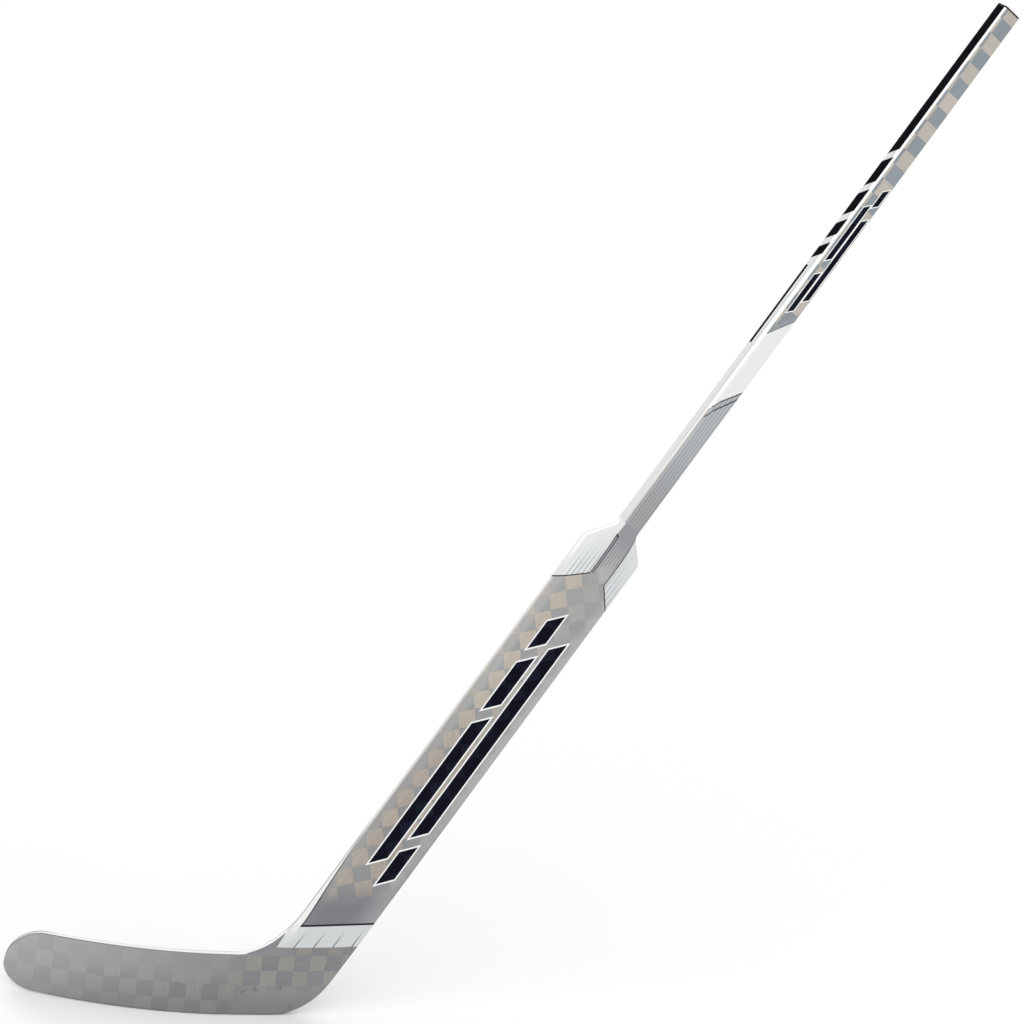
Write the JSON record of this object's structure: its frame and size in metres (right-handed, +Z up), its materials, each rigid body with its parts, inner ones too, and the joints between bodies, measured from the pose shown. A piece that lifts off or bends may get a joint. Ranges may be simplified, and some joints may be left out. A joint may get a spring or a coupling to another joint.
{
  "type": "hockey goalie stick",
  "caption": "Composite ice hockey goalie stick: slim hollow shaft, wide flat paddle with sloped shoulders, and a curved blade with a rounded toe.",
  "frame": {"origin": "on the shaft's axis, 50 mm above the joint of shaft and paddle, where the hand holds the stick", "axes": "+Z up with the blade on the ice, -X towards the toe, -Y out of the convex backhand face, +Y out of the concave forehand face; the shaft leans 62 degrees from the ice towards +X"},
  "size_m": [1.0709, 0.1209, 1.3839],
  "materials": {
    "painted_shaft": "satin lacquer over printed laminate",
    "painted_paddle": "satin lacquer over printed laminate",
    "painted_blade": "satin lacquer over woven laminate",
    "bare_laminate": "bare carbon and glass laminate",
    "core_foam": "closed-cell foam",
    "heel_filler": "stiff syntactic foam",
    "end_plug": "moulded, matt black"
  },
  "bodies": {
    "root": {"shaft_tube": "painted_shaft", "butt_end_plug": "end_plug", "tenon_stop": "core_foam", "paddle_backhand_shell": "painted_paddle", "paddle_forehand_shell": "painted_paddle", "paddle_leading_core": "core_foam", "paddle_trailing_core": "core_foam", "paddle_web": "bare_laminate", "heel_insert": "heel_filler", "blade_backhand_shell": "painted_blade", "blade_forehand_shell": "painted_blade", "blade_upper_core": "core_foam", "blade_lower_core": "core_foam", "blade_web": "bare_laminate"}
  },
  "joints": []
}
